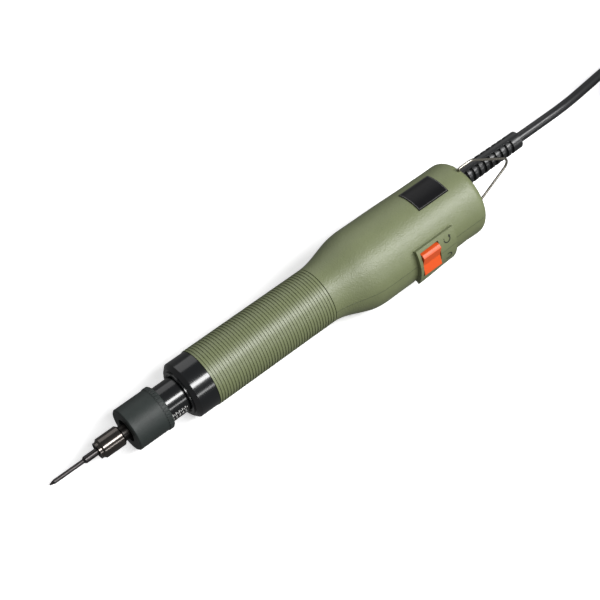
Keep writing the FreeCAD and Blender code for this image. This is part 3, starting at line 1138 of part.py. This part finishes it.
blades = [block(f"{word}_blade", "sizes.blade_length", "sizes.blade_thickness", "sizes.blade_width",
                f"{plug_face}", f"{cord_end.y} + {side} - sizes.blade_thickness / 2",
                f"{cord_end.z} + sizes.blade_rise - sizes.blade_width / 2")
          for word, side in (("left", "sizes.blade_spread"), ("right", "(0 - sizes.blade_spread)"))]
earth_pin = rod("earth_pin", "sizes.earth_radius", "sizes.earth_length", f"{plug_face}", f"{cord_end.y}",
                f"{cord_end.z} - sizes.earth_drop")
keep(fuse("pin_set", earth_pin, *blades), "plug_pins", bench_pieces)

# Check, then write every sub-part in the resting pose
doc.recompute()
for item in doc.Objects:
    if "Invalid" in item.State or "Error" in item.State:
        raise RuntimeError(f"{item.Label} did not compute")
os.makedirs("parts", exist_ok=True)
for group, pose in ((tool_pieces, rest), (bench_pieces, FreeCAD.Placement())):
    for piece in group:
        if piece.Shape.isNull() or not piece.Shape.isValid():
            raise RuntimeError(f"{piece.Label} has no sound shape")
        piece.Shape.transformed(pose.toMatrix()).exportStep(f"parts/{piece.Label}.step")
print("sub-parts", len(tool_pieces) + len(bench_pieces))
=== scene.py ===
"""Looks of the electric screwdriver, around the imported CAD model."""

import json
import math

import bpy
from mathutils import Matrix, Vector


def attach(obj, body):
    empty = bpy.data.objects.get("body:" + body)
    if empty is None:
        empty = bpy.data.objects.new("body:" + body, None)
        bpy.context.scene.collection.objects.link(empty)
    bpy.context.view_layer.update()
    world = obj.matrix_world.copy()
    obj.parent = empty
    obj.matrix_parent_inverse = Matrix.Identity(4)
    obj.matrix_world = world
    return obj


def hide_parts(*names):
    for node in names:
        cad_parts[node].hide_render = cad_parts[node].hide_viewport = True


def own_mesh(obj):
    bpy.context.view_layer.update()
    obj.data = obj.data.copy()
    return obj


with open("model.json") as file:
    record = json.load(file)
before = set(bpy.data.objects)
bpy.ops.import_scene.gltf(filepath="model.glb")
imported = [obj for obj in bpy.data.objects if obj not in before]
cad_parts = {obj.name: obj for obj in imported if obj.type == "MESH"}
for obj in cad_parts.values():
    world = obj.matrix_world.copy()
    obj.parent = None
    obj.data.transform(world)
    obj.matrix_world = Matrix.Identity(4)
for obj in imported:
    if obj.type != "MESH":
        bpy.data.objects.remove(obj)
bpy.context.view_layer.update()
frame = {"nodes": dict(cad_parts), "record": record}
nodes = frame["nodes"]
scene = bpy.context.scene
MM = 0.001

# The tool lies tilted on the bench: tool positions are in mm along its own axis, from the collar's middle
REST_TILT = math.radians(4.3169)
TILT = Matrix.Rotation(-REST_TILT, 3, "Y")
BENCH = -16.976


def tool(x, y=0.0, z=0.0):
    """A point of the tool, in metres in the shared frame."""
    return TILT @ Vector((x, y, z)) * MM


def tool_direction(x, y, z):
    return TILT @ Vector((x, y, z))


# Camera at the photograph's angle
CAMERA_SIDE = Vector((-0.358, -0.562, 0.7456)).normalized()
CAMERA_TARGET = Vector((78.5, 2.74, 2.07))
CAMERA_DISTANCE = 790.0
CAMERA_LENS = 87.0
SENSOR_WIDTH = 36.0
NEAREST_SEEN = 0.01
# The slope of the tool's axis in the picture
AXIS_SLOPE = math.atan2(0.5764, 0.817)


def add_camera():
    back = tool_direction(*CAMERA_SIDE)
    axis = tool_direction(1, 0, 0)
    along = (axis - back * axis.dot(back)).normalized()
    across = along.cross(back)
    right = along * math.cos(AXIS_SLOPE) + across * math.sin(AXIS_SLOPE)
    up = back.cross(right)
    camera_data = bpy.data.cameras.new("photo_camera")
    camera_data.lens = CAMERA_LENS
    camera_data.sensor_width = SENSOR_WIDTH
    camera_data.clip_start = NEAREST_SEEN
    camera = bpy.data.objects.new("photo_camera", camera_data)
    camera.matrix_world = Matrix((right, up, back)).transposed().to_4x4()
    camera.location = tool(*CAMERA_TARGET) + back * CAMERA_DISTANCE * MM
    scene.collection.objects.link(camera)
    scene.camera = camera
    return back


view_back = add_camera()


# Materials
def new_material(name):
    material = bpy.data.materials.new(name)
    material.use_nodes = True
    tree = material.node_tree
    return material, tree, tree.nodes["Principled BSDF"]


def add_node(tree, kind, **settings):
    node = tree.nodes.new(kind)
    for key, value in settings.items():
        setattr(node, key, value)
    return node


def join(tree, start, end):
    tree.links.new(start, end)


def math_node(tree, operation, first, second=None):
    """A maths node whose inputs are sockets or numbers."""
    node = add_node(tree, "ShaderNodeMath", operation=operation)
    for socket, value in zip(node.inputs, (first, second)):
        if value is None:
            continue
        if isinstance(value, (int, float)):
            socket.default_value = value
        else:
            join(tree, value, socket)
    return node.outputs[0]


def noise(tree, place, scale, detail=3.0):
    node = add_node(tree, "ShaderNodeTexNoise")
    node.inputs["Scale"].default_value = scale
    node.inputs["Detail"].default_value = detail
    join(tree, place, node.inputs["Vector"])
    return node.outputs["Fac"]


def mix_colours(tree, share, first, second):
    """A colour between two others, each a socket or three numbers."""
    node = add_node(tree, "ShaderNodeMix", data_type="RGBA")
    join(tree, share, node.inputs["Factor"])
    for name, colour in (("A", first), ("B", second)):
        socket = next(item for item in node.inputs if item.name == name and item.type == "RGBA")
        if isinstance(colour, tuple):
            socket.default_value = (*colour, 1.0)
        else:
            join(tree, colour, socket)
    return next(item for item in node.outputs if item.type == "RGBA")


def tool_place(tree):
    """Coordinates along the tool's own axes, in metres."""
    place = add_node(tree, "ShaderNodeTexCoord").outputs["Object"]
    turn = add_node(tree, "ShaderNodeMapping")
    turn.inputs["Rotation"].default_value = (0.0, REST_TILT, 0.0)
    join(tree, place, turn.inputs["Vector"])
    return turn.outputs["Vector"]


# How far roughness wanders, and the scales of the noise in colour and in roughness
ROUGHNESS_SHARE = 0.16
TINT_SCALE = 180.0
ROUGHNESS_SCALE = 420.0
GRAIN_DETAIL = 2.0
BEVEL_SAMPLES = 4


def surface(name, colour, roughness, metal=0.0, grain=3000.0, depth=0.03, tint=0.06, edge=0.0003,
            shine=0.5):
    """A solid material with fine grain (depth in mm), slight colour change and softened edges (in m)."""
    material, tree, shader = new_material(name)
    place = tool_place(tree)
    darker = tuple(value * (1 - tint) for value in colour)
    lighter = tuple(min(1.0, value * (1 + tint)) for value in colour)
    mixed = mix_colours(tree, noise(tree, place, TINT_SCALE), darker, lighter)
    join(tree, mixed, shader.inputs["Base Color"])
    shader.inputs["Metallic"].default_value = metal
    shader.inputs["Specular IOR Level"].default_value = shine
    wander = noise(tree, place, ROUGHNESS_SCALE)
    uneven = math_node(tree, "MULTIPLY_ADD", wander, roughness * ROUGHNESS_SHARE)
    uneven.node.inputs[2].default_value = roughness * (1 - ROUGHNESS_SHARE / 2)
    join(tree, uneven, shader.inputs["Roughness"])
    bevel = add_node(tree, "ShaderNodeBevel", samples=BEVEL_SAMPLES)
    bevel.inputs["Radius"].default_value = edge
    bump = add_node(tree, "ShaderNodeBump")
    bump.inputs["Strength"].default_value = 1.0
    bump.inputs["Distance"].default_value = depth * MM
    join(tree, noise(tree, place, grain, GRAIN_DETAIL), bump.inputs["Height"])
    join(tree, bevel.outputs["Normal"], bump.inputs["Normal"])
    join(tree, bump.outputs["Normal"], shader.inputs["Normal"])
    return material, tree, shader, place, mixed


def look(*values, **settings):
    return surface(*values, **settings)[0]


def paint(tree, shader, mixed, mask, colour):
    """Paints a colour where a mask is 1."""
    join(tree, mix_colours(tree, mask, mixed, colour), shader.inputs["Base Color"])


GREEN = (0.178, 0.205, 0.096)
SEAM_HALF = 0.16
SEAM_COLOUR = (0.06, 0.075, 0.03)


def shell_green():
    """Moulded green with the joint line of the two halves."""
    material, tree, shader, place, mixed = surface(
        "moulded_green", GREEN, 0.45, grain=1200.0, depth=0.2, tint=0.08, shine=0.9)
    parts = add_node(tree, "ShaderNodeSeparateXYZ")
    join(tree, place, parts.inputs["Vector"])
    height = math_node(tree, "ABSOLUTE", parts.outputs["Z"])
    seam = math_node(tree, "LESS_THAN", height, SEAM_HALF * MM)
    paint(tree, shader, mixed, seam, SEAM_COLOUR)
    return material


# The nameplate's ends and half width, and where its border lies in from the edge
PLATE_FRONT = 158.0
PLATE_REAR = 179.9
PLATE_HALF = 8.5
BORDER_START = 0.45
BORDER_END = 0.62
BORDER_COLOUR = (0.2, 0.2, 0.19)


def plate_black():
    """A bare black plate with a thin light border."""
    material, tree, shader, place, mixed = surface(
        "plate_black", (0.008, 0.008, 0.009), 0.3, depth=0.006, edge=0.0001, shine=0.2)
    parts = add_node(tree, "ShaderNodeSeparateXYZ")
    join(tree, place, parts.inputs["Vector"])
    front = math_node(tree, "SUBTRACT", parts.outputs["X"], PLATE_FRONT * MM)
    rear = math_node(tree, "SUBTRACT", PLATE_REAR * MM, parts.outputs["X"])
    from_middle = math_node(tree, "ABSOLUTE", parts.outputs["Y"])
    side = math_node(tree, "SUBTRACT", PLATE_HALF * MM, from_middle)
    nearest = math_node(tree, "MINIMUM", math_node(tree, "MINIMUM", front, rear), side)
    inside = math_node(tree, "GREATER_THAN", nearest, BORDER_START * MM)
    outside = math_node(tree, "LESS_THAN", nearest, BORDER_END * MM)
    paint(tree, shader, mixed, math_node(tree, "MULTIPLY", inside, outside), BORDER_COLOUR)
    return material


def set_look(node, material):
    nodes[node].data.materials.clear()
    nodes[node].data.materials.append(material)


looks = {
    "green_plastic": shell_green(),
    "black_gloss": look("gloss_black", (0.003, 0.004, 0.005), 0.17, depth=0.001, tint=0.02, edge=0.0004,
                        shine=1.0),
    "dark_matte": look("matte_black", (0.014, 0.016, 0.015), 0.6, grain=2600.0, depth=0.05, shine=0.3),
    "dark_steel": look("dark_steel", (0.15, 0.134, 0.124), 0.17, metal=1.0, depth=0.001, edge=0.0002),
    "steel": look("bright_steel", (0.52, 0.49, 0.42), 0.26, metal=1.0, depth=0.006),
    "gear_steel": look("gear_steel", (0.42, 0.42, 0.43), 0.35, metal=1.0, depth=0.01),
    "bronze": look("bronze", (0.56, 0.36, 0.15), 0.36, metal=1.0, depth=0.01),
    "magnet": look("ferrite", (0.03, 0.03, 0.032), 0.6, depth=0.03),
    "board": look("circuit_board", (0.02, 0.12, 0.045), 0.4, depth=0.01),
    "component": look("moulded_black", (0.02, 0.02, 0.022), 0.5, depth=0.03),
    "lead": look("lead_cover", (0.35, 0.03, 0.02), 0.45, depth=0.01),
    "orange": look("orange_rocker", (0.82, 0.105, 0.018), 0.38, depth=0.015, edge=0.0005),
    "black_plate": plate_black(),
    "rubber": look("black_rubber", (0.012, 0.013, 0.014), 0.33, depth=0.01, edge=0.0004, shine=0.7),
}
for entry in frame["record"]["subparts"]:
    set_look(entry["node"], looks[entry["material_slot"]])

# Pieces whose finish differs from the rest of their slot
own_looks = {
    "grip_sleeve": look("grip_green", GREEN, 0.43, grain=2000.0, depth=0.06, edge=0.0002, shine=0.9),
    "torque_nut": look("nut_grey", (0.022, 0.029, 0.027), 0.52, grain=1700.0, depth=0.12, tint=0.2),
    "driver_bit": look("bit_steel", (0.07, 0.065, 0.065), 0.3, metal=1.0, depth=0.006),
    "spindle": look("spindle_steel", (0.04, 0.037, 0.035), 0.35, metal=1.0, depth=0.006),
}
for node, material in own_looks.items():
    set_look(node, material)


# Printed marks, laid on round surfaces
INK_LIFT = 0.05
BARREL_RADIUS = 10.45
SCALE_FRONT = -18.4
SCALE_STEP = 1.0
SCALE_TICKS = 10
TICK_WIDTH = 0.36
TICK_BASE = 0.2
LONG_TICK = 1.7
SHORT_TICK = 1.0
NUMBER_HEIGHT = 2.7
NUMBER_BASE = -2.6
PANEL_RADIUS = 26.09
PANEL_DROP = 1.37
ARROW_STATION = 162.6
ARROW_RADIUS = 2.2
ARROW_LINE = 0.65
ARROW_STEPS = 20
ARROW_HEAD_HALF = 1.0
ARROW_HEAD_LENGTH = 1.5
white_ink = look("white_ink", (0.8, 0.8, 0.78), 0.5, depth=0.001)
dark_ink = look("dark_ink", (0.012, 0.014, 0.010), 0.6, depth=0.001)


def wrapped(x, arc, radius, drop=0.0):
    """A point on the side of the switch: arc is its height round the surface from the middle."""
    angle = arc / radius
    lifted = radius + INK_LIFT
    return tool(x, -lifted * math.cos(angle), lifted * math.sin(angle) - drop)


def add_mark(name, corners, faces, material):
    mesh = bpy.data.meshes.new(name)
    mesh.from_pydata(corners, [], faces)
    mesh.materials.append(material)
    mark = bpy.data.objects.new(name, mesh)
    scene.collection.objects.link(mark)
    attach(mark, "housing")


def add_number(number, spot):
    """A plain figure laid round the barrel."""
    text = bpy.data.curves.new("figure", "FONT")
    text.body = str(number)
    text.size = NUMBER_HEIGHT
    text.align_x = "CENTER"
    outline = bpy.data.objects.new("figure", text)
    flat = bpy.data.meshes.new_from_object(outline)
    corners = []
    for corner in flat.vertices:
        corners.append(wrapped(spot + corner.co.x, NUMBER_BASE + corner.co.y, BARREL_RADIUS))
    faces = [tuple(face.vertices) for face in flat.polygons]
    bpy.data.objects.remove(outline)
    add_mark(f"torque_number_{number}", corners, faces, white_ink)


def add_torque_scale():
    """White ticks and plain numbers along the clutch barrel."""
    corners = []
    faces = []
    for number in range(SCALE_TICKS):
        middle = SCALE_FRONT + SCALE_STEP * number
        length = LONG_TICK if number % 2 == 0 else SHORT_TICK
        first = len(corners)
        for x, arc in ((-TICK_WIDTH, 0), (TICK_WIDTH, 0), (TICK_WIDTH, length), (-TICK_WIDTH, length)):
            corners.append(wrapped(middle + x / 2, TICK_BASE + arc, BARREL_RADIUS))
        faces.append((first, first + 1, first + 2, first + 3))
    add_mark("torque_ticks", corners, faces, white_ink)
    for number in range(0, SCALE_TICKS, 2):
        add_number(number // 2 + 1, SCALE_FRONT + SCALE_STEP * number)


def add_turn_arrow(name, height, start, sweep):
    """A round arrow on the switch panel: start and sweep are in degrees."""
    corners = []
    faces = []
    for number in range(ARROW_STEPS + 1):
        angle = math.radians(start + sweep * number / ARROW_STEPS)
        for distance in (ARROW_RADIUS - ARROW_LINE / 2, ARROW_RADIUS + ARROW_LINE / 2):
            corners.append(wrapped(ARROW_STATION + distance * math.cos(angle),
                                   height + distance * math.sin(angle), PANEL_RADIUS, PANEL_DROP))
        if number:
            faces.append((2 * number - 2, 2 * number - 1, 2 * number + 1, 2 * number))
    tip = math.radians(start + sweep)
    turn = math.copysign(1.0, sweep)
    for outwards, onwards in ((-ARROW_HEAD_HALF, 0.0), (ARROW_HEAD_HALF, 0.0), (0.0, ARROW_HEAD_LENGTH)):
        distance = ARROW_RADIUS + outwards
        x = distance * math.cos(tip) - onwards * turn * math.sin(tip)
        arc = distance * math.sin(tip) + onwards * turn * math.cos(tip)
        corners.append(wrapped(ARROW_STATION + x, height + arc, PANEL_RADIUS, PANEL_DROP))
    last = len(corners)
    faces.append((last - 3, last - 2, last - 1))
    add_mark(name, corners, faces, dark_ink)


add_torque_scale()
add_turn_arrow("forward_arrow", 8.3, 150.0, 225.0)
add_turn_arrow("reverse_arrow", -4.6, 120.0, -290.0)


# Coil springs as copies of their rigid solids, each carried by its body
def add_spring(node, body):
    """A coil spring in place of its rigid solid: a copy of its mesh, carried by its body."""
    coil = bpy.data.objects.new(f"{node}_coil", nodes[node].data.copy())
    scene.collection.objects.link(coil)
    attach(coil, body)
    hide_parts(node)
    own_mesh(coil)


add_spring("clutch_spring", "housing")
add_spring("start_spring", "housing")
add_spring("sleeve_spring", "spindle")


# Cord: the lead from the strain relief, the hank and the run into the plug, on one spline
CORD_DIAMETER = 6.2
CORD_REST = 0.95
CORD_LYING = BENCH + CORD_REST + CORD_DIAMETER / 2
CORD_EXIT = tool(251.0, 9.0, 0.0) / MM
# Back and aside from the exit in mm, and the share of the way down to the hank's top
CORD_ROUTE = [
    (0.0, 0.0, 0.0), (20.0, 0.0, -0.132), (44.0, 2.2, -0.06), (70.0, 8.2, 0.2),
    (94.0, 14.6, 0.52), (118.0, 19.0, 0.84), (142.0, 19.5, 1.0), (166.0, 19.5, 1.0),
]
HANK_HALF = 29.5
HANK_RUN = 40.0
HANK_PITCH = 6.8
HANK_LAYERS = 4
HANK_TURNS = 2
HANK_TAIL = 10.0
PLUG_APPROACH = 34.0
PLUG_SOCKET = 5.0
HANK_TOP = CORD_LYING + HANK_PITCH * (HANK_LAYERS - 1)
BEND_STEPS = 4


def hank_lanes():
    """How many lanes each run of the hank lies inside the outermost: inwards, then outwards, by layers."""
    lanes = [0]
    for layer in range(HANK_LAYERS):
        for turn in range(HANK_TURNS):
            lanes += [turn, turn + 1] if layer % 2 == 0 else [HANK_TURNS - 1 - turn] * 2
    return lanes


def cord_points():
    """The spline's control points, in mm."""
    drop = CORD_EXIT.z - HANK_TOP
    points = [CORD_EXIT + Vector((back, side, -share * drop)) for back, side, share in CORD_ROUTE]
    middle = points[-1].y - HANK_HALF
    rear = points[-1].x + CORD_DIAMETER
    ends = (rear - HANK_RUN, rear)
    lanes = hank_lanes()
    step = math.pi / BEND_STEPS
    side_y = points[-1].y
    points.pop()
    for run in range(1, len(lanes)):
        offset = HANK_HALF - HANK_PITCH * lanes[run]
        next_y = middle + (offset if run % 2 == 0 else -offset)
        turn_x = ends[run % 2]
        outwards = 1 if run % 2 else -1
        radius = abs(side_y - next_y) / 2
        reach = radius * math.tan(step / 2)
        before = HANK_TOP - HANK_PITCH * ((run - 1) // (2 * HANK_TURNS))
        points.append(Vector((turn_x - outwards * reach, side_y, before)))
        for number in range(BEND_STEPS):
            angle = step * (number + 0.5)
            away = radius / math.cos(step / 2)
            turned = (side_y + next_y) / 2 + away * math.cos(angle) * outwards
            points.append(Vector((turn_x + outwards * away * math.sin(angle), turned, before)))
        points.append(Vector((turn_x - outwards * reach, next_y, before)))
        side_y = next_y
    tail = Vector((rear + HANK_TAIL, side_y, CORD_LYING))
    rise = tail + Vector((PLUG_APPROACH, 0, HANK_PITCH))
    points += [tail + Vector((PLUG_APPROACH / 4, 0, 0)), rise - Vector((PLUG_APPROACH / 4, 0, 0))]
    points.append(rise + Vector((CORD_DIAMETER + PLUG_SOCKET, 0, 0)))
    return points


def add_cord():
    curve = bpy.data.curves.new("mains_cord", "CURVE")
    curve.dimensions = "3D"
    spline = curve.splines.new("NURBS")
    points = cord_points()
    spline.points.add(len(points) - 1)
    for control, point in zip(spline.points, points):
        control.co = (*(point * MM), 1.0)
    spline.order_u = 3
    spline.use_endpoint_u = True
    spline.resolution_u = 8
    curve.bevel_depth = CORD_DIAMETER / 2 * MM
    curve.bevel_resolution = 6
    curve.use_fill_caps = True
    cord = bpy.data.objects.new("mains_cord", curve)
    scene.collection.objects.link(cord)
    curve.materials.append(looks["rubber"])
    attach(cord, "housing")
    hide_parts("cord_lead", "cord_coil")


add_cord()


# Floor, light and surroundings
FLOOR_HALF = 6.0
FLOOR_GAP = 0.05
FLOOR_GLOW = 0.5
STRIP_DISTANCE = 1.8
STRIP_LENGTH = 2.4
WORLD_STRENGTH = 0.16
WHITE = (1.0, 1.0, 1.0, 1.0)


def add_floor():
    """A pale bench top that lights itself a little and leaves the tool's own surroundings dark."""
    mesh = bpy.data.meshes.new("bench_top")
    half = FLOOR_HALF
    level = (BENCH - FLOOR_GAP) * MM
    corners = [(-half, -half, level), (half, -half, level), (half, half, level), (-half, half, level)]
    mesh.from_pydata(corners, [], [(0, 1, 2, 3)])
    floor = bpy.data.objects.new("bench_top", mesh)
    scene.collection.objects.link(floor)
    bench, _, shader, _, _ = surface(
        "pale_bench", (0.94, 0.94, 0.94), 0.85, grain=300.0, depth=0.002, tint=0.01)
    shader.inputs["Emission Color"].default_value = WHITE
    shader.inputs["Emission Strength"].default_value = FLOOR_GLOW
    mesh.materials.append(bench)
    floor.visible_diffuse = False
    floor.visible_glossy = False


def add_strip(name, roll, along, width, power):
    """A soft strip light along the tool: roll is its angle round the axis from the camera's side."""
    target = tool(*CAMERA_TARGET)
    axis = tool_direction(1, 0, 0)
    facing = (view_back - axis * axis.dot(view_back)).normalized()
    sideways = axis.cross(facing)
    away = facing * math.cos(math.radians(roll)) + sideways * math.sin(math.radians(roll))
    panel = bpy.data.lights.new(name, "AREA")
    panel.shape = "RECTANGLE"
    panel.size = STRIP_LENGTH
    panel.size_y = width
    panel.energy = power
    lamp = bpy.data.objects.new(name, panel)
    lamp.location = target + axis * along + away * STRIP_DISTANCE
    back = (lamp.location - target).normalized()
    right = (axis - back * axis.dot(back)).normalized()
    lamp.rotation_mode = "QUATERNION"
    lamp.rotation_quaternion = Matrix((right, back.cross(right), back)).transposed().to_quaternion()
    scene.collection.objects.link(lamp)


add_floor()
add_strip("top_strip", roll=6.0, along=0.69, width=0.5, power=48.0)
add_strip("side_strip", roll=47.0, along=0.69, width=0.22, power=8.0)
add_strip("back_fill", roll=-80.0, along=0.3, width=1.3, power=7.0)
surroundings = bpy.data.worlds.new("studio")
surroundings.use_nodes = True
background = surroundings.node_tree.nodes["Background"]
background.inputs["Color"].default_value = WHITE
background.inputs["Strength"].default_value = WORLD_STRENGTH
scene.world = surroundings
scene.view_settings.view_transform = "Standard"
